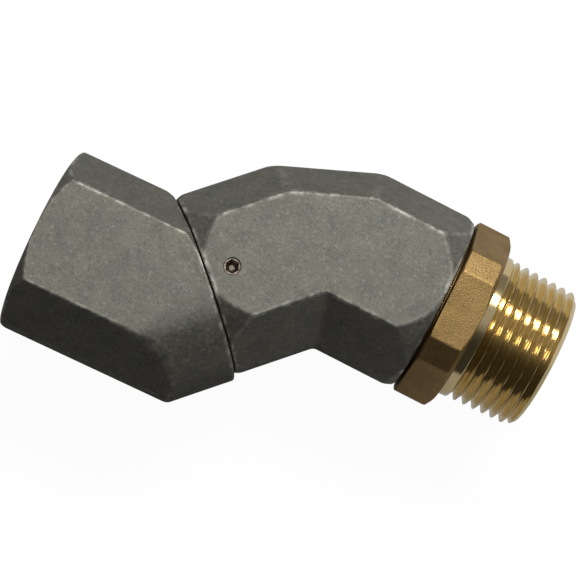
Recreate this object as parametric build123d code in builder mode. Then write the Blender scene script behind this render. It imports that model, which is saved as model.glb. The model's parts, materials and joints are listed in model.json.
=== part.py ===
from build123d import *
import os
from math import asin, cos, floor, pi, radians, sin, sqrt, tan

# Fuel hose swivel: two cast elbows and a brass adapter, joined by two ball-race swivels.
# The origin is on the inlet's axis where its thread wall begins, +X runs into the inlet, +Z is up.
# Lengths are in millimetres and angles in degrees.

# Route of the flow path, in the XY plane
inlet_leg = 24.64
inlet_bend = 44
inlet_arm = 6.75
middle_inlet_leg = 21.78
middle_bend = 46
middle_outlet_leg = 22.2
flow_radius = 6.4

# Outer section of the cast bodies: a hexagon lying on a flat, its side corners cut upright
inlet_flats = 32.8
inlet_half_width = 16.6
middle_flats = 31.75
middle_half_width = 16.3
mitre_distance = 13.25
mitre_flat_edge = 6.8
cast_edge_radius = 0.3

# Turned ends of the cast bodies
inlet_end_radius = 16.45
inlet_end_angle = 50
elbow_radius = 17.28
elbow_end_radius = 16.66
elbow_end_angle = 60
inlet_face_radius = 16.1
inlet_face_angle = 24
outlet_face_radius = 15.9
outlet_face_angle = 25.5

# Female taper thread at the inlet, drilled to its tapping size
inlet_thread_radius = 11.8
inlet_thread_depth = 14.5
inlet_mouth_radius = 13.4

# Swivel joint, the same at both ends of the middle body, listed from its face inwards
face_gap = 0.3
run_clearance = 0.05
land_radius = 11.2
lip_length = 0.8
dust_cord = 1.3
race_distance = 4.3
ball_diameter = 2.38
ball_clearance = 0.03
ball_rings = 3
ball_facets = 6
race_land = 0.7
guide_width = 3.4
guide_thickness = 1.0
guide_clearance = 0.03
guide_split = 0.8
land_tail = 0.8
step_length = 0.7
nose_bore_radius = 9.3
nose_lead = 0.8
backup_width = 1.0
seal_cord = 1.6
seal_clearance = 0.03
groove_side_clearance = 0.12
nose_wall = 0.7
nose_chamfer = 0.4
nose_end_clearance = 0.3

# Ball loading hole and its socket set screw
plug_diameter = 3.0
plug_clearance = 0.03
plug_recess = 0.3
plug_socket_flats = 1.8
plug_socket_depth = 1.3

# Stem that is screwed into the inlet body
stem_head_length = 2.7
stem_thread_radius = 9.9
stem_thread_length = 4.6
stem_thread_clearance = 0.03
stem_socket_relief = 0.3

# Brass outlet adapter, from the middle body's face outwards
adapter_turn = -5.3
neck_radius = 13.6
neck_length = 0.8
nut_flats = 31.1
nut_corner_flats = 33.2
nut_back_radius = 16.3
nut_front_radius = 15.5
nut_face_angle = 58
nut_length = 6.55
thread_length = 14.75
thread_pitch = 1.8143
thread_depth = 1.4
thread_end_radius = 13.1
thread_end_chamfer = 1.0
thread_taper = 1 / 32

# Stations along a swivel joint, from the middle body's face inwards
race_half_width = (ball_diameter / 2 + ball_clearance) * sqrt(2)
dust_groove_width = dust_cord + 2 * groove_side_clearance
dust_groove_end = lip_length + dust_groove_width
guide_start = race_distance + race_half_width + race_land
guide_groove_width = guide_width + 2 * guide_clearance
guide_end = guide_start + guide_groove_width
land_end = guide_end + land_tail
nose_start = land_end + step_length
seal_groove_start = nose_start + nose_lead
seal_groove_width = backup_width + seal_cord + 3 * groove_side_clearance
nose_end = seal_groove_start + seal_groove_width + nose_wall
seat_depth = nose_end + nose_end_clearance

# Radii of a swivel joint
spigot_radius = land_radius - run_clearance
nose_radius = nose_bore_radius - run_clearance
race_circle = (land_radius + spigot_radius) / 2
dust_groove_radius = land_radius - dust_cord - 2 * seal_clearance
guide_groove_radius = land_radius - guide_thickness - 2 * guide_clearance
seal_groove_radius = nose_bore_radius - seal_cord - 2 * seal_clearance
ball_count = floor(pi / asin((ball_diameter + ball_clearance) / 2 / race_circle))

up = Vector(0, 0, 1)


def heading(angle):
    """Unit vector in the XY plane."""
    return Vector(cos(radians(angle)), sin(radians(angle)), 0)


def lengthwise(origin, direction):
    """Plane whose X runs along an axis and whose Z is up."""
    return Plane(origin=origin, x_dir=direction, z_dir=up)


def crosswise(plane, distance=0):
    """Plane across a lengthwise plane's axis, its Y up."""
    return Plane(origin=plane.origin + plane.x_dir * distance, x_dir=plane.y_dir, z_dir=plane.x_dir)


def turned(plane, points, mode=Mode.ADD):
    """Revolve a closed outline of (along, radius) points about the plane's X axis."""
    with BuildSketch(plane) as outline:
        with BuildLine():
            Polyline(*points, close=True)
        make_face()
    revolve(outline.sketch, axis=Axis(plane.origin, plane.x_dir), mode=mode)


def turned_band(plane, start, end, inner, outer, mode=Mode.ADD):
    """Revolve a rectangle, from start to end along the axis and between two radii."""
    turned(plane, [(start, inner), (end, inner), (end, outer), (start, outer)], mode)


def turned_vee(plane, along, radius, half_width):
    """Cut a right-angled groove half into each side of a radius, about the plane's X axis."""
    corners = [
        (along - half_width, radius),
        (along, radius + half_width),
        (along + half_width, radius),
        (along, radius - half_width),
    ]
    turned(plane, corners, Mode.SUBTRACT)


def turned_bevel(plane, end_radius, angle, corner_radius):
    """Cut the rim of a body's end, at X = 0, to a cone that widens past its corners."""
    rim = 1.1 * corner_radius
    depth = (rim - end_radius) / tan(radians(angle))
    turned(plane, [(0, end_radius), (depth, rim), (0, rim)], Mode.SUBTRACT)


def cast_section(plane, flats, half_width):
    """Hexagon with its flats up and down and its side corners cut upright."""
    with BuildSketch(plane) as section:
        RegularPolygon(flats / 2, 6, major_radius=False)
        Rectangle(2 * half_width, flats, mode=Mode.INTERSECT)
    return section.sketch


def soften(body, end_planes):
    """Round a casting's straight edges, apart from those round its flat ends."""
    edges = body.edges().filter_by(GeomType.LINE)
    for plane in end_planes:
        edges = edges.filter_by(lambda edge: abs(plane.to_local_coords(edge.center()).Z) > cast_edge_radius)
    fillet(edges, cast_edge_radius)


def flow_passage(start, corner, end):
    """Bore the flow passage round a mitred bend."""
    with BuildLine() as route:
        Polyline(start, corner, end)
    with BuildSketch(crosswise(lengthwise(start, (corner - start).normalized()))) as bore:
        Circle(flow_radius)
    sweep(bore.sketch, path=route.line, transition=Transition.RIGHT, mode=Mode.SUBTRACT)


# Axes: the inlet, then both swivel joints, each from the middle body's face into it
inlet_mouth_depth = inlet_mouth_radius - inlet_thread_radius
inlet_face = heading(0) * -inlet_mouth_depth
inlet_axis = lengthwise(inlet_face, heading(0))
inlet_corner = inlet_face + heading(0) * inlet_leg
inlet_joint_heading = heading(inlet_bend)
inlet_seam = inlet_corner + inlet_joint_heading * inlet_arm
inlet_joint = lengthwise(inlet_seam, inlet_joint_heading)
middle_corner = inlet_seam + inlet_joint_heading * middle_inlet_leg
outlet_heading = heading(inlet_bend - middle_bend)
outlet_seam = middle_corner + outlet_heading * middle_outlet_leg
outlet_joint = lengthwise(outlet_seam, outlet_heading * -1)


def add_spigot(joint):
    """Turned spigot that runs in a middle body seat, with its race and grooves."""
    turned(
        joint,
        [
            (-face_gap, flow_radius),
            (-face_gap, spigot_radius),
            (land_end, spigot_radius),
            (nose_start, nose_radius),
            (nose_end - nose_chamfer, nose_radius),
            (nose_end, nose_radius - nose_chamfer),
            (nose_end, flow_radius),
        ],
    )
    turned_band(joint, lip_length, dust_groove_end, dust_groove_radius, land_radius, Mode.SUBTRACT)
    turned_vee(joint, race_distance, race_circle, race_half_width)
    turned_band(joint, guide_start, guide_end, guide_groove_radius, land_radius, Mode.SUBTRACT)
    seal_end = seal_groove_start + seal_groove_width
    turned_band(joint, seal_groove_start, seal_end, seal_groove_radius, nose_bore_radius, Mode.SUBTRACT)


def cut_seat(joint):
    """Stepped bore, race groove and end bevel for a spigot in the middle body."""
    turned(
        joint,
        [
            (0, 0),
            (0, land_radius),
            (land_end, land_radius),
            (nose_start, nose_bore_radius),
            (seat_depth, nose_bore_radius),
            (seat_depth, 0),
        ],
        Mode.SUBTRACT,
    )
    turned_vee(joint, race_distance, race_circle, race_half_width)


def plug_plane(joint, side):
    """Plane on the middle body's flat over the race, on the upper (1) or lower (-1) side."""
    centre = joint.origin + joint.x_dir * race_distance + up * (side * middle_flats / 2)
    return Plane(origin=centre, x_dir=joint.x_dir, z_dir=up * side)


loading_sides = ((inlet_joint, 1), (outlet_joint, -1))
loading_planes = [plug_plane(joint, side) for joint, side in loading_sides]
plug_length = middle_flats / 2 - plug_recess - race_circle - ball_diameter / 2 - ball_clearance

# Cast inlet elbow: a hexagonal body whose outer side is turned round about the swivel axis
elbow_reach = 3 * elbow_radius
with BuildPart() as elbow_waste:
    with BuildSketch(crosswise(inlet_joint, -elbow_reach)) as outer_half:
        with Locations((-elbow_reach / 2, 0)):
            Rectangle(elbow_reach, 2 * elbow_reach)
        Circle(elbow_radius, mode=Mode.SUBTRACT)
    extrude(amount=2 * elbow_reach)

stem_head_end = -face_gap - stem_head_length
stem_end = stem_head_end - stem_thread_length
stem_socket_end = stem_end - stem_socket_relief
with BuildPart() as inlet_body:
    extrude(cast_section(crosswise(inlet_axis), inlet_flats, inlet_half_width), amount=inlet_leg + elbow_reach)
    add(elbow_waste.part, mode=Mode.SUBTRACT)
    split(bisect_by=crosswise(inlet_joint, -face_gap), keep=Keep.BOTTOM)
    soften(inlet_body, [crosswise(inlet_axis), crosswise(inlet_joint, -face_gap)])
    inlet_corner_radius = inlet_flats / sqrt(3)
    turned_bevel(inlet_axis, inlet_end_radius, inlet_end_angle, inlet_corner_radius)
    elbow_end = lengthwise(inlet_joint.origin - inlet_joint.x_dir * face_gap, inlet_joint.x_dir * -1)
    turned_bevel(elbow_end, elbow_end_radius, elbow_end_angle, inlet_corner_radius)
    turned(
        inlet_axis,
        [
            (0, 0),
            (0, inlet_mouth_radius),
            (inlet_mouth_depth, inlet_thread_radius),
            (inlet_thread_depth, inlet_thread_radius),
            (inlet_thread_depth, 0),
        ],
        Mode.SUBTRACT,
    )
    flow_passage(inlet_face + heading(0) * inlet_thread_depth, inlet_corner, inlet_seam)
    turned_band(inlet_joint, stem_head_end, -face_gap, 0, land_radius, Mode.SUBTRACT)
    socket_radius = stem_thread_radius + stem_thread_clearance
    turned_band(inlet_joint, stem_socket_end, stem_head_end, 0, socket_radius, Mode.SUBTRACT)
inlet_body.part.label = "inlet_body"

# Turned stem: the spigot of the inlet swivel, a sealed head and a threaded tail
stem_groove_start = -face_gap - (stem_head_length + dust_groove_width) / 2
with BuildPart() as inlet_stem:
    add_spigot(inlet_joint)
    turned_band(inlet_joint, stem_head_end, -face_gap, flow_radius, spigot_radius)
    turned_band(inlet_joint, stem_end, stem_head_end, flow_radius, stem_thread_radius)
    stem_groove_end = stem_groove_start + dust_groove_width
    turned_band(
        inlet_joint, stem_groove_start, stem_groove_end, dust_groove_radius, land_radius, Mode.SUBTRACT
    )
inlet_stem.part.label = "inlet_stem"

# Cast middle elbow: one section swept round the bend, with its outer corner cut to a flat
with BuildPart() as mitre_waste:
    mitre_heading = heading(inlet_bend - middle_bend / 2)
    mitre_axis = lengthwise(middle_corner, mitre_heading)
    far = 2 * middle_half_width
    half_height = middle_flats / 2
    mitre_half_flat = half_height - (mitre_distance - mitre_flat_edge) * sqrt(3)
    with BuildSketch(crosswise(mitre_axis, -far)) as outside:
        with BuildLine():
            Polyline(
                (mitre_flat_edge, half_height),
                (mitre_distance, mitre_half_flat),
                (mitre_distance, -mitre_half_flat),
                (mitre_flat_edge, -half_height),
                (mitre_flat_edge, -far),
                (far, -far),
                (far, far),
                (mitre_flat_edge, far),
                close=True,
            )
        make_face()
    extrude(amount=2 * far)

with BuildPart() as middle_body:
    with BuildLine() as middle_path:
        Polyline(inlet_seam, middle_corner, outlet_seam)
    sweep(
        cast_section(crosswise(inlet_joint), middle_flats, middle_half_width),
        path=middle_path.line,
        transition=Transition.RIGHT,
    )
    add(mitre_waste.part, mode=Mode.SUBTRACT)
    soften(middle_body, [crosswise(inlet_joint), crosswise(outlet_joint)])
    middle_corner_radius = middle_flats / sqrt(3)
    turned_bevel(inlet_joint, inlet_face_radius, inlet_face_angle, middle_corner_radius)
    turned_bevel(outlet_joint, outlet_face_radius, outlet_face_angle, middle_corner_radius)
    cut_seat(inlet_joint)
    cut_seat(outlet_joint)
    flow_passage(inlet_seam, middle_corner, outlet_seam)
    with Locations(*loading_planes):
        Cylinder(
            plug_diameter / 2,
            middle_flats / 2 - race_circle,
            align=(Align.CENTER, Align.CENTER, Align.MAX),
            mode=Mode.SUBTRACT,
        )
middle_body.part.label = "middle_body"


def adapter_thread_outline():
    """Taper thread as (along, radius) points, from a plain land by the nut to the open end."""
    start = -neck_length - nut_length
    end = start - thread_length
    points = [(start, flow_radius), (start, thread_end_radius + thread_length * thread_taper)]
    for turn in range(floor(thread_length / thread_pitch), 0, -1):
        crest = end + (turn - 0.5) * thread_pitch
        radius = thread_end_radius + (crest - end) * thread_taper
        points.append((crest, radius))
        points.append((crest - thread_pitch / 2, radius - thread_depth))
    points[-1] = (end, thread_end_radius - thread_end_chamfer)
    points.append((end, flow_radius))
    return points


# Brass adapter: spigot, thrust neck, hexagon with flattened corners and male taper thread in one piece
with BuildPart() as outlet_adapter:
    with BuildSketch(crosswise(outlet_joint, -neck_length)) as nut_section:
        RegularPolygon(nut_flats / 2, 6, major_radius=False, rotation=adapter_turn)
        RegularPolygon(
            nut_corner_flats / 2, 6, major_radius=False, rotation=adapter_turn + 30, mode=Mode.INTERSECT
        )
    extrude(amount=-nut_length)
    nut_back = lengthwise(outlet_joint.origin - outlet_joint.x_dir * neck_length, outlet_joint.x_dir * -1)
    nut_front = lengthwise(nut_back.origin + nut_back.x_dir * nut_length, nut_back.x_dir * -1)
    turned_bevel(nut_back, nut_back_radius, nut_face_angle, nut_corner_flats / 2)
    turned_bevel(nut_front, nut_front_radius, nut_face_angle, nut_corner_flats / 2)
    turned(outlet_joint, adapter_thread_outline())
    turned_band(outlet_joint, -neck_length, -face_gap, flow_radius, neck_radius)
    add_spigot(outlet_joint)
    adapter_end = -neck_length - nut_length - thread_length
    turned_band(outlet_joint, adapter_end, nose_end, 0, flow_radius, Mode.SUBTRACT)
outlet_adapter.part.label = "outlet_adapter"


def seal_ring(joint, label, start, groove_radius, bore_radius, cord):
    """Square-cut seal that lies in a groove, just clear of its floor and of the bore."""
    with BuildPart() as ring:
        inner = groove_radius + seal_clearance
        turned_band(joint, start, start + cord, inner, bore_radius - seal_clearance)
    ring.part.label = label
    return ring.part


def guide_ring(joint, label):
    """Split plain-bearing ring between the spigot's land and the seat."""
    with BuildPart() as ring:
        start = guide_start + guide_clearance
        inner = guide_groove_radius + guide_clearance
        turned_band(joint, start, start + guide_width, inner, inner + guide_thickness)
        with BuildSketch(crosswise(joint, start)) as split_gap:
            with Locations((land_radius, 0)):
                Rectangle(2 * guide_thickness + land_radius, guide_split)
        extrude(amount=guide_width, mode=Mode.SUBTRACT)
    ring.part.label = label
    return ring.part


def backup_ring(joint, label):
    """Flat ring that backs the main seal on its low-pressure side."""
    with BuildPart() as ring:
        start = seal_groove_start + groove_side_clearance
        inner = seal_groove_radius + seal_clearance
        turned_band(joint, start, start + backup_width, inner, nose_bore_radius - seal_clearance)
    ring.part.label = label
    return ring.part


def race_balls(joint, side, label):
    """Full ring of balls, one of them under the loading hole; each ball is lightly faceted."""
    ball_radius = ball_diameter / 2
    points = [(0, 0, ball_radius), (0, 0, -ball_radius)]
    for ring in range(ball_rings):
        latitude = pi * ((ring + 1) / (ball_rings + 1) - 0.5)
        for facet in range(ball_facets):
            turn = 2 * pi * facet / ball_facets
            level = ball_radius * cos(latitude)
            points.append((level * cos(turn), level * sin(turn), ball_radius * sin(latitude)))
    with BuildPart() as balls:
        with Locations(crosswise(joint, race_distance)):
            with PolarLocations(race_circle, ball_count, start_angle=90 * side):
                ConvexPolyhedron(points)
    balls.part.label = label
    return balls.part


def ball_plugs(plug_planes):
    """Socket set screws that close the ball loading holes."""
    tops = [plane.offset(-plug_recess) for plane in plug_planes]
    with BuildPart() as plugs:
        with BuildSketch(*tops):
            Circle(plug_diameter / 2 - plug_clearance)
        extrude(amount=-plug_length)
        with BuildSketch(*tops):
            RegularPolygon(plug_socket_flats / 2, 6, major_radius=False)
        extrude(amount=-plug_socket_depth, mode=Mode.SUBTRACT)
    plugs.part.label = "ball_plugs"
    return plugs.part


main_seal_start = seal_groove_start + backup_width + 2 * groove_side_clearance
dust_seal_start = lip_length + groove_side_clearance
stem_seal_start = stem_groove_start + groove_side_clearance
dust_seat = (dust_groove_radius, land_radius, dust_cord)
main_seat = (seal_groove_radius, nose_bore_radius, seal_cord)
pieces = [inlet_body.part, inlet_stem.part, middle_body.part, outlet_adapter.part]
pieces.append(seal_ring(inlet_joint, "stem_seal", stem_seal_start, *dust_seat))
pieces.append(ball_plugs(loading_planes))
for end, joint, side in (("inlet", inlet_joint, 1), ("outlet", outlet_joint, -1)):
    pieces.append(seal_ring(joint, f"{end}_dust_seal", dust_seal_start, *dust_seat))
    pieces.append(race_balls(joint, side, f"{end}_race_balls"))
    pieces.append(guide_ring(joint, f"{end}_guide_ring"))
    pieces.append(backup_ring(joint, f"{end}_backup_ring"))
    pieces.append(seal_ring(joint, f"{end}_main_seal", main_seal_start, *main_seat))

os.makedirs("parts", exist_ok=True)
for piece in pieces:
    export_step(piece, f"parts/{piece.label}.step")
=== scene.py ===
import json
from math import atan2, cos, degrees, pi, radians, sin, sqrt, tan

import bmesh
import bpy
import numpy as np
from mathutils import Matrix


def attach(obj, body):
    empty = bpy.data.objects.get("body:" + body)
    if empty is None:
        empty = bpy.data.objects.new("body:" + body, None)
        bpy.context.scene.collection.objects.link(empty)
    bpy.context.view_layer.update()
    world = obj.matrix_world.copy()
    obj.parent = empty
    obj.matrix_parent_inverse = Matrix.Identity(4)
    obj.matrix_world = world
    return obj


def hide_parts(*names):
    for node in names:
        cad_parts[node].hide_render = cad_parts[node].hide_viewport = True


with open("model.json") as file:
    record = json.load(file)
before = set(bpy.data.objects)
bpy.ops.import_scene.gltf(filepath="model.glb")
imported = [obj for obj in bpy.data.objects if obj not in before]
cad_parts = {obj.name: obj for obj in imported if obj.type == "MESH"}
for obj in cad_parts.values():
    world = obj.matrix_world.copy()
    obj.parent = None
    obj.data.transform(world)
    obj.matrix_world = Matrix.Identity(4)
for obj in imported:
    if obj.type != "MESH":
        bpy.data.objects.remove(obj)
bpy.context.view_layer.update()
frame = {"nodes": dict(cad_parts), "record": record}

# Fuel hose swivel: two cast elbows and a brass adapter. Shapes are worked out in millimetres
# in the row frame and written to meshes in metres.

MM = 0.001

# Sizes in millimetres and degrees, mostly as in the part's source; bevels are (end radius, angle).
# The neck, the nut's start and the thread's depth differ from it, to show the photograph's dark
# gap and its crests.

# Cast bodies
INLET_FACE = -1.6
INLET_LEG = 24.64
INLET_BEND = 44
INLET_ARM = 6.75
MIDDLE_INLET_LEG = 21.78
MIDDLE_BEND = 46
MIDDLE_OUTLET_LEG = 22.2
FACE_GAP = 0.3
INLET_FLATS = 32.8
INLET_HALF_WIDTH = 16.6
MIDDLE_FLATS = 31.75
MIDDLE_HALF_WIDTH = 16.3
MITRE_DISTANCE = 13.25
MITRE_FLAT_EDGE = 6.8
INLET_END = (16.45, 50)
ELBOW_RADIUS = 17.28
ELBOW_END = (16.66, 60)
INLET_SEAT_END = (16.1, 24)
OUTLET_SEAT_END = (15.9, 25.5)

# Bores, those of the swivels measured from their seams
FLOW_RADIUS = 6.4
FLOW_START = 12
INLET_THREAD_RADIUS = 11.8
INLET_THREAD_END = 12.9
STEM_HEAD = -3.0
STEM_TAIL_RADIUS = 9.93
STEM_END = -7.9
LAND_RADIUS = 11.2
SEAT_LAND_END = 11.53
SEAT_STEP_END = 12.23
SEAT_NOSE_RADIUS = 9.3
SEAT_END = 17.0

# Balls and set screws
RACE_DISTANCE = 4.3
BALL_RADIUS = 1.19
BALL_COUNT = 29
BALL_CIRCLE_RADIUS = LAND_RADIUS - 0.025
PLUG_RADIUS = 1.47
PLUG_START = 12.4
PLUG_RECESS = 0.3
PLUG_HOLE_RADIUS = 1.5
PLUG_HOLE_START = 12.0
SOCKET_TURN = 54.8

# Adapter, measured from the outlet's seam
SPIGOT_LAND_RADIUS = 11.15
SPIGOT_NOSE_RADIUS = 9.25
NECK_RADIUS = 12.6
NUT_START = 0.6
NUT_END = 7.35
NUT_FLATS = 31.1
NUT_CORNER_FLATS = 33.2
NUT_BACK_RADIUS = 16.3
NUT_FRONT_RADIUS = 15.5
NUT_FACE_ANGLE = 58
NUT_TURN = -5.3
THREAD_END = 22.1
PITCH = 1.8143
THREAD_DEPTH = 1.28
THREAD_END_RADIUS = 13.1
THREAD_END_CHAMFER = 1.0
TAPER = 1 / 32

# Roundings: of cast edges, of turned edges, of the middle body's inner corner, and of the line
# where the inlet's top and bottom flats run into its turned heel
CAST_EDGE = 0.3
TURNED_EDGE = 0.2
CROTCH_FILLET = 0.5
HEEL_BLEND = 1.0

TINY = 1e-9
UP = np.array([0.0, 0.0, 1.0])
SLOPE = cos(radians(30))
VEE_HEIGHT = SLOPE * PITCH


def unit(angle):
    """Direction in the plane of the bends, at an angle from the inlet's axis."""
    return np.array([cos(radians(angle)), sin(radians(angle)), 0.0])


def left_of(direction):
    return np.array([-direction[1], direction[0], 0.0])


inlet_way = unit(0)
joint_way = unit(INLET_BEND)
outlet_way = unit(INLET_BEND - MIDDLE_BEND)
mitre_side = left_of(unit(INLET_BEND - MIDDLE_BEND / 2))
inlet_face = inlet_way * INLET_FACE
inlet_corner = inlet_face + inlet_way * INLET_LEG
inlet_seam = inlet_corner + joint_way * INLET_ARM
middle_corner = inlet_seam + joint_way * MIDDLE_INLET_LEG
outlet_seam = middle_corner + outlet_way * MIDDLE_OUTLET_LEG
middle_top = MIDDLE_FLATS / 2
plug_crown = middle_top - PLUG_RECESS


# Signed distances, negative inside

def smax(a, b, k):
    """Larger of two distances, the edge between them rounded over k."""
    h = np.maximum(k - np.abs(a - b), 0) / k
    return np.maximum(a, b) + h * h * k / 4


def smin(a, b, k):
    """Smaller of two distances, the crease between them rounded over k."""
    return -smax(-a, -b, k)


def meet(distances, k):
    """Largest of several distances, the edges between them rounded over k."""
    result = distances[0]
    for distance in distances[1:]:
        result = smax(result, distance, k)
    return result


def along(points, origin, direction):
    """How far each point lies from an origin along a direction."""
    return (points - origin) @ direction


def cone(points, origin, inward, bevel):
    """End bevel about an axis that runs inward from the end's centre."""
    radius, angle = bevel
    s = along(points, origin, inward)
    rho = np.linalg.norm(points - origin - np.outer(s, inward), axis=1)
    return (rho - radius) * cos(radians(angle)) - s * sin(radians(angle))


def middle_distance(p):
    """The middle body's outside: two hexagonal legs that meet in a mitre."""
    flats = MIDDLE_FLATS / 2
    z = np.abs(p[:, 2])
    a = along(p, middle_corner, left_of(joint_way))
    b = along(p, middle_corner, left_of(outlet_way))
    mitre = along(p, middle_corner, mitre_side)
    faces = [
        z - flats,
        smin(-a, -b, CROTCH_FILLET) - MIDDLE_HALF_WIDTH,
        smin(-a * SLOPE + z / 2, -b * SLOPE + z / 2, CROTCH_FILLET) - flats,
        a - MIDDLE_HALF_WIDTH,
        b - MIDDLE_HALF_WIDTH,
        a * SLOPE + z / 2 - flats,
        b * SLOPE + z / 2 - flats,
        mitre - MITRE_DISTANCE,
        mitre * SLOPE + z / 2 - (MITRE_FLAT_EDGE * SLOPE + flats / 2),
    ]
    ends = [
        -along(p, inlet_seam, joint_way),
        along(p, outlet_seam, outlet_way),
        cone(p, inlet_seam, joint_way, INLET_SEAT_END),
        cone(p, outlet_seam, -outlet_way, OUTLET_SEAT_END),
    ]
    return meet([meet(faces, CAST_EDGE)] + ends, TURNED_EDGE)


def inlet_distance(p):
    """The inlet body's outside: a hexagonal bar, turned round about the seam's axis at its heel."""
    flats = INLET_FLATS / 2
    z = np.abs(p[:, 2])
    u = np.abs(p[:, 1])
    side = along(p, inlet_seam, left_of(joint_way))
    heel = np.sqrt(np.minimum(side, 0) ** 2 + p[:, 2] ** 2) - ELBOW_RADIUS
    bar = meet([z - flats, u - INLET_HALF_WIDTH, u * SLOPE + z / 2 - flats], CAST_EDGE)
    blend = CAST_EDGE + (HEEL_BLEND - CAST_EDGE) * np.clip(z / flats, 0, 1) ** 2
    end = inlet_seam - joint_way * FACE_GAP
    ends = [
        -along(p, inlet_face, inlet_way),
        along(p, end, joint_way),
        cone(p, inlet_face, inlet_way, INLET_END),
        cone(p, end, -joint_way, ELBOW_END),
    ]
    return meet([smax(bar, heel, blend)] + ends, TURNED_EDGE)


def gradient(distance, p, step=1e-3):
    """Slope of a distance at each point."""
    columns = []
    for axis in range(3):
        shift = np.zeros(3)
        shift[axis] = step
        columns.append((distance(p + shift) - distance(p - shift)) / (2 * step))
    return np.stack(columns, axis=1)


# Meshes

def mesh_from(bm, name):
    """Mesh of a bmesh, with its faces turned outwards; the bmesh goes."""
    bmesh.ops.recalc_face_normals(bm, faces=bm.faces[:])
    mesh = bpy.data.meshes.new(name)
    bm.to_mesh(mesh)
    bm.free()
    return mesh


def new_object(name, mesh):
    obj = bpy.data.objects.new(name, mesh)
    bpy.context.scene.collection.objects.link(obj)
    return obj


def evaluated(obj):
    """The object's mesh with its modifiers applied; the object goes."""
    graph = bpy.context.evaluated_depsgraph_get()
    mesh = bpy.data.meshes.new_from_object(obj.evaluated_get(graph))
    bpy.data.objects.remove(obj)
    return mesh


def vertex_positions(mesh):
    p = np.empty(len(mesh.vertices) * 3)
    mesh.vertices.foreach_get("co", p)
    return p.reshape(-1, 3)


def skin(bm, loops, closed=False, caps=True):
    """Quads between successive loops of points, each loop closed. Caps fill the first and last
    loop, and closed joins them to each other."""
    rows = [[bm.verts.new(point) for point in loop] for loop in loops]
    pairs = list(zip(rows, rows[1:]))
    if closed:
        pairs.append((rows[-1], rows[0]))
    size = len(rows[0])
    for a, b in pairs:
        for k in range(size):
            m = (k + 1) % size
            bm.faces.new((a[k], a[m], b[m], b[k]))
    if caps:
        bm.faces.new(rows[0][::-1])
        bm.faces.new(rows[-1])


def slice_off(bm, planes):
    """Cut a closed mesh by (point, outward normal) planes and close each cut."""
    for point, normal in planes:
        cut = bmesh.ops.bisect_plane(
            bm, geom=bm.verts[:] + bm.edges[:] + bm.faces[:],
            plane_co=point, plane_no=normal, clear_outer=True,
        )
        rim = [e for e in cut["geom_cut"] if isinstance(e, bmesh.types.BMEdge)]
        if rim:
            bmesh.ops.holes_fill(bm, edges=rim, sides=0)


def ring_points(axis_point, side, up, radius, segments):
    """Evenly spaced points round a centre, the first one on its side."""
    turns = 2 * pi * np.arange(segments) / segments
    return [axis_point + (side * cos(turn) + up * sin(turn)) * radius for turn in turns]


def lathe(origin, direction, profile, segments=120):
    """Solid of (along, radius) points about an axis, closed at both ends. The profile is a list
    or a function of the turn."""
    side = left_of(direction) if abs(direction[2]) < 0.5 else np.array([1.0, 0.0, 0.0])
    up = np.cross(direction, side)
    loops = []
    for step in range(segments):
        turn = 2 * pi * step / segments
        outline = profile(turn) if callable(profile) else profile
        radial = side * cos(turn) + up * sin(turn)
        loops.append([origin + direction * s + radial * r for s, r in outline])
    bm = bmesh.new()
    skin(bm, list(zip(*loops)))
    return mesh_from(bm, "lathe")


def passage(points, radius, segments=72):
    """Mitred round tube through points, as a closed solid."""
    ways = [(b - a) / np.linalg.norm(b - a) for a, b in zip(points, points[1:])]
    loops = []
    for index, point in enumerate(points):
        before = ways[max(index - 1, 0)]
        after = ways[min(index, len(ways) - 1)]
        normal = before + after
        loop = []
        for spot in ring_points(point, left_of(before), UP, radius, segments):
            loop.append(spot - before * ((spot - point) @ normal) / (before @ normal))
        loops.append(loop)
    bm = bmesh.new()
    skin(bm, loops)
    return mesh_from(bm, "passage")


CAST_VOXEL = 0.28
SMOOTHING_ROUNDS = 4
FIRST_STEPS = 8
ROUND_STEPS = 3
LONGEST_STEP = 1.5
LEAST_STEEPNESS = 0.25


def settle(mesh, distance):
    """Remesh to an even grid, then smooth it and move its points onto the zero of a distance."""
    obj = new_object("settling", mesh)
    remesh = obj.modifiers.new("Remesh", "REMESH")
    remesh.mode = "VOXEL"
    remesh.voxel_size = CAST_VOXEL
    result = evaluated(obj)
    p = vertex_positions(result)
    count = len(p)
    ends = np.empty(len(result.edges) * 2, dtype=np.int64)
    result.edges.foreach_get("vertices", ends)
    ends = ends.reshape(-1, 2)
    degree = np.bincount(ends.ravel(), minlength=count)[:, None]

    def onto_zero(points, steps):
        for _ in range(steps):
            slope = gradient(distance, points)
            steepness = np.maximum((slope ** 2).sum(axis=1), LEAST_STEEPNESS)
            step = slope * (distance(points) / steepness)[:, None]
            length = np.linalg.norm(step, axis=1, keepdims=True)
            points = points - step * np.minimum(1, LONGEST_STEP / np.maximum(length, TINY))
        return points

    p = onto_zero(p, FIRST_STEPS)
    for _ in range(SMOOTHING_ROUNDS):
        total = np.zeros_like(p)
        for axis in range(3):
            total[:, axis] = np.bincount(ends[:, 0], p[ends[:, 1], axis], minlength=count)
            total[:, axis] += np.bincount(ends[:, 1], p[ends[:, 0], axis], minlength=count)
        p = onto_zero(p + 0.5 * (total / degree - p), ROUND_STEPS)
    result.vertices.foreach_set("co", p.ravel())
    result.update()
    return result


def cut_out(mesh, cutters):
    """Boolean difference of a closed mesh and closed cutters."""
    obj = new_object("cutting", mesh)
    helpers = []
    for cutter in cutters:
        helper = new_object("cutter", cutter)
        modifier = obj.modifiers.new("Boolean", "BOOLEAN")
        modifier.operation = "DIFFERENCE"
        modifier.solver = "MANIFOLD"
        modifier.object = helper
        helpers.append(helper)
    result = evaluated(obj)
    for helper in helpers:
        bpy.data.objects.remove(helper)
    return result


SETTLED_WITHIN = 0.02
LEAST_AGREEMENT = 0.8


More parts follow.
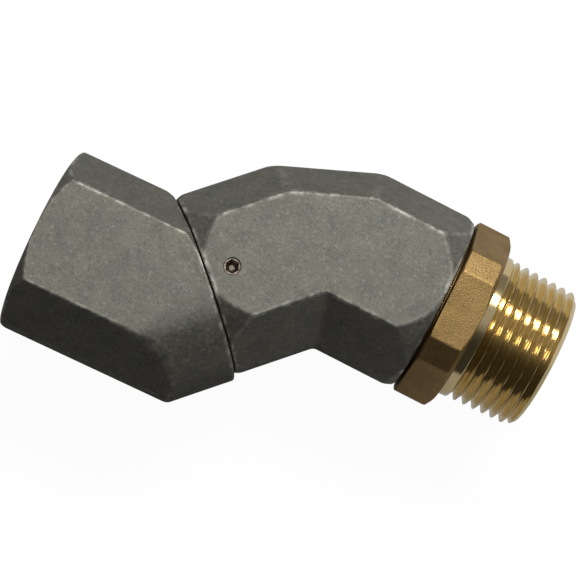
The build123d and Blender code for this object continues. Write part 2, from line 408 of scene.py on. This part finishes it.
def slope_ways(distance, p):
    """Unit vectors along the slope of a distance."""
    slope = gradient(distance, p)
    return slope / np.maximum(np.linalg.norm(slope, axis=1, keepdims=True), TINY)


def exact_normals(mesh, distance):
    """Take the shading normals of a settled surface, by now in metres, from its distance. Faces
    that were cut keep their own: they lie off the surface or turn away from its slope."""
    p = vertex_positions(mesh) / MM
    slope = slope_ways(distance, p)
    corners = np.empty(len(mesh.loops), dtype=np.int64)
    mesh.loops.foreach_get("vertex_index", corners)
    totals = np.empty(len(mesh.polygons), dtype=np.int64)
    mesh.polygons.foreach_get("loop_total", totals)
    facing = np.empty(len(mesh.polygons) * 3)
    mesh.polygons.foreach_get("normal", facing)
    facing = np.repeat(facing.reshape(-1, 3), totals, axis=0)
    settled = np.abs(distance(p))[corners] < SETTLED_WITHIN
    agrees = (facing * slope[corners]).sum(axis=1) > LEAST_AGREEMENT
    normals = np.where((settled & agrees)[:, None], slope[corners], 0.0)
    mesh.normals_split_custom_set(normals.tolist())


# Edge mask of the castings, marking worn edges and painting a highlight along them: how deep it
# probes, and how near the surface it holds
INLET_EDGE_PROBE = 0.45
MIDDLE_EDGE_PROBE = 0.65
EDGE_MARK_WITHIN = 0.05
BEND_STEP = 0.1


def edge_wear_and_highlight(mesh, distance, probe):
    """Store on each point how near it is to a convex edge, as a point attribute: the edge's wear,
    which also paints a highlight along it. A point that is moved inwards by the probe ends less
    deep than that if an edge is near."""
    p = vertex_positions(mesh)
    here = distance(p)
    depth = distance(p - probe * slope_ways(distance, p)) + probe
    wear_and_highlight = np.sqrt(np.clip(depth / (0.5 * probe), 0, 1))
    wear_and_highlight[np.abs(here) > EDGE_MARK_WITHIN] = 0
    bend = sum(
        distance(p + shift) + distance(p - shift) - 2 * here for shift in BEND_STEP * np.eye(3)
    )
    wear_and_highlight[bend < 0] = 0
    layer = mesh.attributes.new("wear_and_highlight", "FLOAT", "POINT")
    layer.data.foreach_set("value", wear_and_highlight)


def piece(name, mesh, body, material, replaced, smooth_angle=30):
    """Finish a mesh in millimetres as a piece of the object."""
    mesh.transform(Matrix.Scale(MM, 4))
    mesh.name = name
    mesh.materials.clear()
    mesh.materials.append(material)
    mesh.shade_smooth()
    mesh.set_sharp_from_angle(angle=radians(smooth_angle))
    obj = new_object(name, mesh)
    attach(obj, body)
    for node in replaced:
        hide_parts(node)
    return obj


# Materials

class Nodes:
    """Short forms for building a node tree."""

    def __init__(self, tree, coordinates):
        self.tree = tree
        self.place = self.add("ShaderNodeTexCoord").outputs[coordinates]

    def add(self, kind, **settings):
        node = self.tree.nodes.new(kind)
        for key, value in settings.items():
            setattr(node, key, value)
        return node

    def feed(self, socket, value):
        """Give a socket a number, a colour of three numbers, or the value of another socket."""
        if isinstance(value, (int, float)):
            socket.default_value = value
        elif isinstance(value, tuple):
            socket.default_value = (*value, 1)
        else:
            self.tree.links.new(value, socket)

    def noise(self, scale, detail=3.0, roughness=0.55, stretch=None):
        node = self.add("ShaderNodeTexNoise")
        node.inputs["Scale"].default_value = scale
        node.inputs["Detail"].default_value = detail
        node.inputs["Roughness"].default_value = roughness
        place = self.place
        if stretch:
            mapping = self.add("ShaderNodeMapping")
            mapping.inputs["Scale"].default_value = stretch
            self.feed(mapping.inputs["Vector"], place)
            place = mapping.outputs[0]
        self.feed(node.inputs["Vector"], place)
        return node.outputs["Fac"]

    def reach(self, direction):
        """How far the shaded place lies along a direction."""
        node = self.add("ShaderNodeVectorMath", operation="DOT_PRODUCT")
        self.feed(node.inputs[0], self.place)
        node.inputs[1].default_value = direction
        return node.outputs["Value"]

    def span(self, value, low, high, to_low=0.0, to_high=1.0):
        """Carry a value's range from low to high over to another one, clamped at both ends."""
        node = self.add("ShaderNodeMapRange")
        sockets = ("From Min", "From Max", "To Min", "To Max")
        for socket, number in zip(sockets, (low, high, to_low, to_high)):
            node.inputs[socket].default_value = number
        self.feed(node.inputs["Value"], value)
        return node.outputs["Result"]

    def mix(self, factor, a, b):
        node = self.add("ShaderNodeMix", data_type="RGBA")
        self.feed(node.inputs["Factor"], factor)
        self.feed(node.inputs["A"], a)
        self.feed(node.inputs["B"], b)
        return node.outputs["Result"]

    def maths(self, operation, a, b):
        node = self.add("ShaderNodeMath", operation=operation)
        for socket, value in zip(node.inputs, (a, b)):
            self.feed(socket, value)
        return node.outputs[0]

    def bump(self, height, depth, below=None):
        node = self.add("ShaderNodeBump")
        node.inputs["Distance"].default_value = depth
        self.feed(node.inputs["Height"], height)
        if below:
            self.feed(node.inputs["Normal"], below)
        return node.outputs["Normal"]


class Surface(Nodes):
    """A material with its shader."""

    def __init__(self, name):
        self.material = bpy.data.materials.new(name)
        self.material.use_nodes = True
        super().__init__(self.material.node_tree, "Object")
        self.shader = self.tree.nodes["Principled BSDF"]

    def set(self, **values):
        names = {
            "colour": "Base Color", "rough": "Roughness", "metal": "Metallic", "normal": "Normal",
            "specular": "Specular IOR Level",
        }
        for key, value in values.items():
            self.feed(self.shader.inputs[names[key]], value)
        return self.material


CAST_CLOUDS = ((0.2, 0.199, 0.171), (0.262, 0.249, 0.206))
CAST_LIGHT_SPECK = (0.42, 0.405, 0.355)
CAST_DARK_SPECK = (0.12, 0.11, 0.092)
CAST_PIT = (0.1, 0.088, 0.072)
# Light tone of worn edges, which also serves as a painted highlight along every convex edge
CAST_WORN_AND_HIGHLIGHT = (0.7, 0.68, 0.6)


def cast_metal():
    """Dull grey casting: cloudy tone, light and dark specks, pits, and edges worn lighter, the
    light edges partly a painted highlight.
    """
    n = Surface("cast_metal")
    clouds = n.noise(260, 4, 0.65)
    specks = n.noise(1500, 3, 0.65)
    grain = n.noise(3200, 2, 0.6)
    tone = n.mix(n.span(clouds, 0.35, 0.65), *CAST_CLOUDS)
    tone = n.mix(n.span(specks, 0.54, 0.72, 0, 0.7), tone, CAST_LIGHT_SPECK)
    tone = n.mix(n.span(specks, 0.26, 0.44, 0.65, 0), tone, CAST_DARK_SPECK)
    tone = n.mix(n.span(grain, 0.3, 0.45, 0.6, 0), tone, CAST_PIT)
    # Convex edges lightened: wear, and a painted highlight along them
    wear_and_highlight = n.add("ShaderNodeAttribute", attribute_name="wear_and_highlight").outputs["Fac"]
    worn_and_highlit = n.maths("MULTIPLY", wear_and_highlight, n.span(n.noise(450, 4), 0.45, 0.6))
    tone = n.mix(worn_and_highlit, tone, CAST_WORN_AND_HIGHLIGHT)
    normal = n.bump(clouds, 0.00006)
    normal = n.bump(specks, 0.00003, normal)
    normal = n.bump(grain, 0.000012, normal)
    rough = n.span(specks, 0.3, 0.7, 0.52, 0.62)
    return n.set(colour=tone, rough=rough, metal=0.7, normal=normal, specular=0.2)


def brass(name, tones, sizes, rough, depths, stretch=None):
    """Brass of a cloudy tone and a fine grain. Sizes are the noise scales of clouds and grain,
    depths are their bumps in metres, and stretch draws the grain out."""
    n = Surface(name)
    clouds = n.noise(sizes[0], 4, 0.6)
    grain = n.noise(sizes[1], 3, 0.6, stretch)
    tone = n.mix(n.span(clouds, 0.3, 0.7), *tones)
    normal = n.bump(grain, depths[1], n.bump(clouds, depths[0]))
    rough = n.span(grain, 0.3, 0.7, *rough)
    return n.set(colour=tone, rough=rough, metal=1.0, normal=normal)


def plain(name, low, high, scale, rough, metal=0.0, depth=0.00001):
    """Even material whose colour wanders a little, between low and high."""
    n = Surface(name)
    grain = n.noise(scale, 3, 0.6)
    tone = n.mix(n.span(grain, 0.3, 0.7), low, high)
    return n.set(colour=tone, rough=rough, metal=metal, normal=n.bump(grain, depth))


cast_material = cast_metal()
nut_material = brass(
    "cast_brass", tones=((0.3, 0.195, 0.075), (0.42, 0.275, 0.11)), sizes=(260, 4000),
    rough=(0.38, 0.54), depths=(0.00003, 0.00007),
)
thread_material = brass(
    "turned_brass", tones=((0.76, 0.59, 0.29), (0.82, 0.66, 0.37)), sizes=(300, 9000),
    rough=(0.12, 0.17), depths=(0.000005, 0.0000004), stretch=(1, 0.06, 0.06),
)
steel_material = plain("ground_steel", (0.5, 0.5, 0.5), (0.6, 0.6, 0.6), 1500, 0.2, 1.0, 0.000002)
plug_material = plain("dark_screw", (0.16, 0.13, 0.1), (0.36, 0.3, 0.24), 1400, 0.42, 1.0)
rubber_material = plain("seal_rubber", (0.012, 0.012, 0.012), (0.02, 0.02, 0.02), 1500, 0.6)
guide_material = plain("guide_plastic", (0.6, 0.56, 0.45), (0.68, 0.64, 0.54), 900, 0.5)

slot_materials = {
    "cast_body": cast_material,
    "brass": thread_material,
    "steel": steel_material,
    "black_oxide_screw": plug_material,
    "seal_rubber": rubber_material,
    "guide_plastic": guide_material,
}
slots = {entry["node"]: entry["material_slot"] for entry in frame["record"]["subparts"]}
for name, node in frame["nodes"].items():
    node.data.materials.clear()
    node.data.materials.append(slot_materials[slots[name]])


# Cast bodies

def section_corners(flats, half_width):
    """Corners of the cast section, a hexagon whose side corners are cut upright, as (side, up)
    pairs."""
    half = flats / 2
    edge = half / sqrt(3)
    upright = 2 * (half - half_width * SLOPE)
    right = [(edge, half), (half_width, upright), (half_width, -upright), (edge, -half)]
    return right + [(-u, z) for u, z in reversed(right)]


def inlet_blank():
    """Hexagonal bar, cut by the seam's plane and by planes round the elbow's turned heel."""
    corners = section_corners(INLET_FLATS, INLET_HALF_WIDTH)
    bm = bmesh.new()
    skin(bm, [
        [inlet_face + inlet_way * s + left_of(inlet_way) * u + UP * z for u, z in corners]
        for s in (0, 2 * INLET_LEG)
    ])
    planes = [(inlet_seam - joint_way * FACE_GAP, joint_way)]
    for angle in range(-75, 76, 15):
        normal = -left_of(joint_way) * cos(radians(angle)) + UP * sin(radians(angle))
        planes.append((inlet_seam + normal * ELBOW_RADIUS, normal))
    slice_off(bm, planes)
    return mesh_from(bm, "inlet_blank")


def middle_blank():
    """The middle body's section carried round its mitred bend, its outer corner cut off."""
    stations = [
        (inlet_seam, left_of(joint_way), 1),
        (middle_corner, mitre_side, 1 / cos(radians(MIDDLE_BEND / 2))),
        (outlet_seam, left_of(outlet_way), 1),
    ]
    corners = section_corners(MIDDLE_FLATS, MIDDLE_HALF_WIDTH)
    bm = bmesh.new()
    skin(bm, [
        [origin + side * u * scale + UP * z for u, z in corners]
        for origin, side, scale in stations
    ])
    planes = [(middle_corner + mitre_side * MITRE_DISTANCE, mitre_side)]
    for up in (1, -1):
        normal = mitre_side * SLOPE + UP * up / 2
        reach = MITRE_FLAT_EDGE * SLOPE + MIDDLE_FLATS / 4
        planes.append((middle_corner + normal * reach, normal))
    slice_off(bm, planes)
    return mesh_from(bm, "middle_blank")


# The thread's rounded crest and root, as falls from the sharp crest of a 60 degree vee
CREST_FALL = 0.12
CREST_ROUNDING = 0.16
ROOT_FALL = THREAD_DEPTH + 0.09
ROOT_ROUNDING = 0.22

# The tap: its points per pitch, how far its crests stay under the sharp ones, and its fading end
TAP_POINTS = 12
TAP_FALL = 0.2
TAP_RELIEF = 0.5
TAP_FADE = 1.5

# Inner radii that turned solids keep clear of their axes, and how far a cutter stands out
CORE = 0.5
PLUG_CORE = 0.2
OVERCUT = 0.5


def thread_fall(phase):
    """How far a rounded 60 degree thread lies under its sharp crest. The crest is at phase 0.5."""
    vee = VEE_HEIGHT * np.abs(2 * (phase % 1) - 1)
    crested = smax(vee, np.full_like(vee, CREST_FALL), CREST_ROUNDING)
    return smin(crested, np.full_like(vee, ROOT_FALL), ROOT_ROUNDING)


def tap_profile(turn):
    """Cutter for the inlet's internal thread, from outside the mouth to the drilled end."""
    s = np.arange(0, INLET_THREAD_END, PITCH / TAP_POINTS)
    height = VEE_HEIGHT - TAP_FALL - thread_fall(s / PITCH - turn / (2 * pi))
    fade = np.clip((INLET_THREAD_END - TAP_RELIEF - s) / TAP_FADE, 0, 1)
    radius = INLET_THREAD_RADIUS + np.maximum(height, 0) * fade
    mouth_radius = INLET_THREAD_RADIUS - INLET_FACE
    mouth = [
        (INLET_FACE - OVERCUT, CORE), (INLET_FACE - OVERCUT, mouth_radius + OVERCUT),
        (INLET_FACE, mouth_radius),
    ]
    end = [(INLET_THREAD_END, INLET_THREAD_RADIUS), (INLET_THREAD_END, CORE)]
    return mouth + list(zip(s, radius)) + end


stem_socket = [
    (1, CORE), (1, LAND_RADIUS), (STEM_HEAD, LAND_RADIUS), (STEM_HEAD, STEM_TAIL_RADIUS),
    (STEM_END, STEM_TAIL_RADIUS), (STEM_END, CORE),
]
inlet_mesh = cut_out(settle(inlet_blank(), inlet_distance), [
    lathe(np.zeros(3), inlet_way, tap_profile),
    passage(
        [inlet_face + inlet_way * FLOW_START, inlet_corner, inlet_seam + joint_way], FLOW_RADIUS
    ),
    lathe(inlet_seam, joint_way, stem_socket),
])
edge_wear_and_highlight(inlet_mesh, inlet_distance, INLET_EDGE_PROBE)
inlet_shell = piece(
    "inlet_body_shell", inlet_mesh, "inlet", cast_material, ["inlet_body"]
)
exact_normals(inlet_shell.data, inlet_distance)

plug_spots = [
    (inlet_seam + joint_way * RACE_DISTANCE, UP),
    (outlet_seam - outlet_way * RACE_DISTANCE, -UP),
]
seat = [
    (-1, CORE), (-1, LAND_RADIUS), (SEAT_LAND_END, LAND_RADIUS), (SEAT_STEP_END, SEAT_NOSE_RADIUS),
    (SEAT_END, SEAT_NOSE_RADIUS), (SEAT_END, CORE),
]
plug_hole = [
    (PLUG_HOLE_START, PLUG_CORE), (PLUG_HOLE_START, PLUG_HOLE_RADIUS),
    (middle_top - 0.05, PLUG_HOLE_RADIUS), (middle_top + 0.2, PLUG_HOLE_RADIUS + 0.25),
    (middle_top + 0.2, PLUG_CORE),
]
middle_cutters = [
    lathe(inlet_seam, joint_way, seat),
    lathe(outlet_seam, -outlet_way, seat),
    passage([inlet_seam, middle_corner, outlet_seam], FLOW_RADIUS),
]
middle_cutters += [lathe(spot, up, plug_hole, 48) for spot, up in plug_spots]
middle_mesh = cut_out(settle(middle_blank(), middle_distance), middle_cutters)
edge_wear_and_highlight(middle_mesh, middle_distance, MIDDLE_EDGE_PROBE)
middle_shell = piece(
    "middle_body_shell", middle_mesh, "middle", cast_material, ["middle_body"]
)
exact_normals(middle_shell.data, middle_distance)


# Set screws over the races

def socket_screw(spot, up):
    """Socket set screw: rounded rim and a tapered hexagonal socket."""
    body = lathe(spot, up, [
        (PLUG_START, PLUG_CORE), (PLUG_START, PLUG_RADIUS - 0.3), (PLUG_START + 0.3, PLUG_RADIUS),
        (plug_crown - 0.12, PLUG_RADIUS), (plug_crown - 0.06, PLUG_RADIUS - 0.02),
        (plug_crown - 0.01, PLUG_RADIUS - 0.07), (plug_crown, PLUG_RADIUS - 0.13),
        (plug_crown, PLUG_CORE),
    ], 60)
    side = unit(SOCKET_TURN)
    levels = ((plug_crown - 1.9, 0.5), (plug_crown - 0.1, 1.2), (plug_crown + 0.2, 1.42))
    bm = bmesh.new()
    skin(bm, [
        ring_points(spot + up * height, side, left_of(side), radius, 6)
        for height, radius in levels
    ])
    return cut_out(body, [mesh_from(bm, "socket")])


screws = bmesh.new()
for spot, up in plug_spots:
    screws.from_mesh(socket_screw(spot, up))
piece(
    "socket_screws", mesh_from(screws, "socket_screws"), "middle", plug_material,
    ["ball_plugs"],
)


# Race balls

def ball_ring(name, origin, way, up, node):
    """Full ring of smooth balls, the first of them under the loading hole, above or below."""
    middle = origin + way * RACE_DISTANCE
    bm = bmesh.new()
    for centre in ring_points(middle, UP * up, left_of(way), BALL_CIRCLE_RADIUS, BALL_COUNT):
        bmesh.ops.create_icosphere(
            bm, subdivisions=3, radius=BALL_RADIUS, matrix=Matrix.Translation(centre)
        )
    piece(name, mesh_from(bm, name), "middle", steel_material, [node], smooth_angle=180)


ball_ring("inlet_bearing_balls", inlet_seam, joint_way, 1, "inlet_race_balls")
ball_ring("outlet_bearing_balls", outlet_seam, -outlet_way, -1, "outlet_race_balls")


# Brass adapter: distances along the outlet's axis run outwards from the seam

# Where a crest of the thread stands at turn 0, and the stretch over which the thread fades in
CREST_STATION = 0.12
FADE_START = 8.9
FADE_LENGTH = 1.0

# Roundings of the nut's edges and of the thread's chamfer, and the step from the nut to the land
NUT_EDGE = 0.14
MOUTH_ROUNDING = 0.1
NUT_GAP = 0.02

# The least cosine at which a face of the nut counts, and the mesh's points along and round the
# axis, with extra ones about each of the nut's edges
FACING = 0.7
OUTLINE_POINTS = 200
TURNS = 180
TURNS_BY_EDGE = (-1.2, -0.7, -0.35, -0.1, 0.1, 0.35, 0.7, 1.2)

nut_slope = tan(radians(NUT_FACE_ANGLE))
# Angle of each of the nut's edges from the middle of its broad faces
nut_corner = degrees(atan2((NUT_CORNER_FLATS - NUT_FLATS * SLOPE) / 0.5, NUT_FLATS))


def nut_side(turn):
    """Distance of the nut's side from the axis: the nearest of its twelve faces, with the edges
    between them rounded."""
    side = None
    for size, offset in ((NUT_FLATS, 0), (NUT_CORNER_FLATS, 30)):
        for k in range(6):
            lean = cos(turn - radians(90 - NUT_TURN + offset + 60 * k))
            if lean > FACING:
                face = np.array([size / 2 / lean])
                side = face if side is None else smin(side, face, NUT_EDGE)
    return side[0]


def nut_outline(turn):
    """The nut's side as (along, radius) points, with its bevels and rounded rims."""
    steps = np.concatenate([np.arange(0, 1.2, 0.05), [1.4, 1.8]])
    back = NUT_START + steps[:14]
    front = NUT_END - steps[::-1]
    s = np.concatenate([back, front])
    side = np.full_like(s, nut_side(turn))
    side = smin(side, NUT_BACK_RADIUS + (s - NUT_START) * nut_slope, NUT_EDGE)
    side = smin(side, NUT_FRONT_RADIUS + (NUT_END - s) * nut_slope, NUT_EDGE)
    rim = np.clip(1 - np.minimum(s - NUT_START, NUT_END - s) / NUT_EDGE, 0, 1)
    return list(zip(s, side - NUT_EDGE * (1 - np.sqrt(1 - rim ** 2))))


def thread_outline(turn):
    """The outside of the taper thread, from the plain land by the nut to the open end."""
    s = np.linspace(NUT_END + NUT_GAP, THREAD_END, OUTLINE_POINTS)
    crest = THREAD_END_RADIUS + (THREAD_END - s) * TAPER
    fade = np.clip((s - FADE_START) / FADE_LENGTH, 0, 1)
    fall = thread_fall((s - CREST_STATION) / PITCH - turn / (2 * pi)) - CREST_FALL
    end = THREAD_END_RADIUS - THREAD_END_CHAMFER + (THREAD_END - s)
    return list(zip(s, smin(crest - fall * fade, end, MOUTH_ROUNDING)))


def adapter_outline(turn):
    """Spigot with neck, nut, and thread with bore: the three parts of one closed outline."""
    nose = SPIGOT_NOSE_RADIUS
    land = SPIGOT_LAND_RADIUS
    spigot = [
        (-17.2, FLOW_RADIUS + 0.2), (-17.2, nose - 0.4), (-16.8, nose), (-16.1, nose),
        # Groove of the main seal and its backup ring
        (-16.1, 7.64), (-13.13, 7.64), (-13.13, nose),
        (-SEAT_STEP_END, nose), (-SEAT_LAND_END, land),
        # Groove of the guide ring, ball race and groove of the dust seal
        (-10.73, land), (-10.73, 10.14), (-7.27, 10.14), (-7.27, land),
        (-6.02, land), (-RACE_DISTANCE, 9.45), (-2.58, land),
        (-2.34, land), (-2.34, 9.84), (-0.8, 9.84), (-0.8, land),
        (0.3, land), (0.3, NECK_RADIUS - 0.15), (0.45, NECK_RADIUS), (NUT_START, NECK_RADIUS),
    ]
    mouth = [(THREAD_END, 7.2), (THREAD_END - 0.4, 6.7), (THREAD_END - 0.9, FLOW_RADIUS)]
    bore = [(s, FLOW_RADIUS) for s in (10.0, 0.0, -10.0, -17.0)]
    return spigot, nut_outline(turn), thread_outline(turn) + mouth + bore


def adapter_solid():
    """The adapter's mesh, and for each face 1 where it is turned and 0 where it is cast brass; the
    turned neck in the gap by the nut takes the dark cast brass too, as painted shade.
    """
    turns = [360 * step / TURNS for step in range(TURNS)]
    for k in range(6):
        for corner in (-nut_corner, nut_corner):
            centre = 90 - NUT_TURN + 60 * k + corner
            turns += [(centre + shift) % 360 for shift in TURNS_BY_EDGE]
    loops = []
    for turn in sorted(turns):
        spigot, nut, rest = adapter_outline(radians(turn))
        radial = left_of(outlet_way) * cos(radians(turn)) + UP * sin(radians(turn))
        loops.append([outlet_seam + outlet_way * s + radial * r for s, r in spigot + nut + rest])
    bm = bmesh.new()
    skin(bm, loops, closed=True, caps=False)
    size = len(loops[0])
    # From the neck's chamfer through the nut the faces take the cast brass; on the neck in the gap
    # it is painted shade
    cast_or_shaded_neck = range(len(spigot) - 3, len(spigot) + len(nut) - 2)
    turned = [int(index % size not in cast_or_shaded_neck) for index in range(len(bm.faces))]
    return mesh_from(bm, "adapter"), turned


adapter_mesh, turned = adapter_solid()
adapter = piece(
    "threaded_adapter", adapter_mesh, "outlet", nut_material, ["outlet_adapter"]
)
adapter.data.materials.append(thread_material)
adapter.data.polygons.foreach_set("material_index", turned)


# Floor, light and camera

# The photograph's view: the row frame turned and tilted about a point near the middle corner, in
# degrees and millimetres
PHOTO_TURN = -24.8
PHOTO_TILT_X = -7.27
PHOTO_TILT_Y = 4.3
PHOTO_SHIFT = np.array([5.94, 7.33, 0.0])
PHOTO_DISTANCE = 330.4
SENSOR_WIDTH = 36
PHOTO_FOCAL = 1870 / 576 * SENSOR_WIDTH

# Metres, and shares of white
FLOOR_HALF = 3.0
FLOOR_COLOUR = (0.08, 0.08, 0.08)
BACKDROP_WHITE = 0.96
SKY_LEAST = 0.035
LAMP_DISTANCE = 0.9

# What reflections see of the studio: (place, brightness), from low before the object to low
# beyond it
SKY = (
    (0.0, 0.02), (0.25, 0.02), (0.42, 0.07), (0.5, 0.2), (0.7, 0.38), (0.8, 0.28), (1.0, 0.2),
)


def turn_matrix(angle, axis):
    return np.array(Matrix.Rotation(radians(angle), 3, axis))


tilt = turn_matrix(PHOTO_TILT_X, "X") @ turn_matrix(PHOTO_TILT_Y, "Y")
plane_turn = turn_matrix(PHOTO_TURN, "Z")


def from_photo(v):
    """Row-frame point, in metres, of a point in the photograph's view axes, in millimetres."""
    view = np.array(v, dtype=float)
    return (middle_corner + plane_turn.T @ (tilt.T @ view - PHOTO_SHIFT)) * MM


def way_from_photo(v):
    """Row-frame direction of a direction in the photograph's view axes."""
    return plane_turn.T @ tilt.T @ np.array(v, dtype=float)


def placement(axes, spot):
    """World matrix with the given axes, at a spot in metres."""
    matrix = Matrix.Identity(4)
    for column, axis in enumerate((*axes, spot)):
        for row in range(3):
            matrix[row][column] = axis[row]
    return matrix


def white_floor():
    """White to the camera. To reflections it glows as a painted reflection, bright by the thread
    and dim by the castings as painted shade.
    """
    n = Surface("pale_floor")
    n.set(colour=FLOOR_COLOUR, rough=0.9, specular=0.1)
    by_thread = n.reach(outlet_way + 0.1 * left_of(outlet_way))
    beyond = n.reach(left_of(outlet_way))
    # Painted reflection: the glow that glossy rays see, darker by the castings as painted shade
    painted_reflection = n.maths(
        "ADD", n.span(by_thread, 0.06, 0.078, 0.08, 0.32), n.span(beyond, 0.0, 0.04, 0, 0.22)
    )
    rays = n.add("ShaderNodeLightPath").outputs
    painted_reflection = n.maths("MULTIPLY", rays["Is Glossy Ray"], painted_reflection)
    direct = n.maths("MAXIMUM", rays["Is Camera Ray"], rays["Is Transmission Ray"])
    direct = n.maths("MULTIPLY", direct, BACKDROP_WHITE)
    n.shader.inputs["Emission Color"].default_value = (1, 1, 1, 1)
    n.feed(n.shader.inputs["Emission Strength"], n.maths("MAXIMUM", direct, painted_reflection))
    return n.material


floor_level = -INLET_FLATS / 2 * MM
floor_corners = ((-1, -1), (1, -1), (1, 1), (-1, 1))
floor_mesh = bpy.data.meshes.new("floor")
floor_mesh.from_pydata(
    [(x * FLOOR_HALF, y * FLOOR_HALF, floor_level) for x, y in floor_corners], [], [(0, 1, 2, 3)]
)
floor_mesh.materials.append(white_floor())
floor = new_object("floor", floor_mesh)

world = bpy.data.worlds.new("studio")
bpy.context.scene.world = world
world.use_nodes = True
studio = Nodes(world.node_tree, "Generated")
ramp = studio.add("ShaderNodeValToRGB")
stops = ramp.color_ramp.elements
while len(stops) < len(SKY):
    stops.new(0.5)
for stop, (place, brightness) in zip(stops, SKY):
    stop.position = place
    stop.color = (brightness, brightness, brightness, 1)
across = studio.reach(way_from_photo((0.45, 0.89, 0)))
studio.feed(ramp.inputs["Fac"], studio.span(across, -1, 1))
rays = studio.add("ShaderNodeLightPath").outputs
strength = studio.maths("MULTIPLY", rays["Is Glossy Ray"], ramp.outputs["Color"])
strength = studio.maths("MAXIMUM", rays["Is Camera Ray"], strength)
strength = studio.maths("MAXIMUM", strength, SKY_LEAST)
background = world.node_tree.nodes["Background"]
background.inputs["Color"].default_value = (1, 1, 1, 1)
studio.feed(background.inputs["Strength"], strength)

camera_data = bpy.data.cameras.new("camera")
camera_data.sensor_width = SENSOR_WIDTH
camera_data.lens = PHOTO_FOCAL
camera_data.clip_start = 0.01
camera = new_object("camera", camera_data)
camera.matrix_world = placement(map(way_from_photo, np.eye(3)), from_photo((0, 0, PHOTO_DISTANCE)))
bpy.context.scene.camera = camera


def area_light(name, angle, turn, size, level):
    """Soft light of size (across, up) in metres. It stands at an angle from the camera's axis
    towards the photo's top, then turned about that axis. Level is what a white diffuse face square
    to it would show."""
    lean, turn = radians(angle), radians(turn)
    way = way_from_photo((sin(lean) * sin(turn), sin(lean) * cos(turn), cos(lean)))
    side = np.cross(UP, way)
    side = side / np.linalg.norm(side)
    data = bpy.data.lights.new(name, "AREA")
    data.shape = "RECTANGLE"
    data.size, data.size_y = size
    data.energy = level * pi * pi * LAMP_DISTANCE ** 2
    lamp = new_object(name, data)
    lamp.matrix_world = placement(
        (side, np.cross(way, side), way), middle_corner * MM + way * LAMP_DISTANCE
    )


area_light("high", angle=48.5, turn=28, size=(0.42, 0.19), level=0.55)
area_light("front", angle=11, turn=-3, size=(0.18, 0.34), level=0.14)

bpy.context.scene.view_settings.view_transform = "Standard"
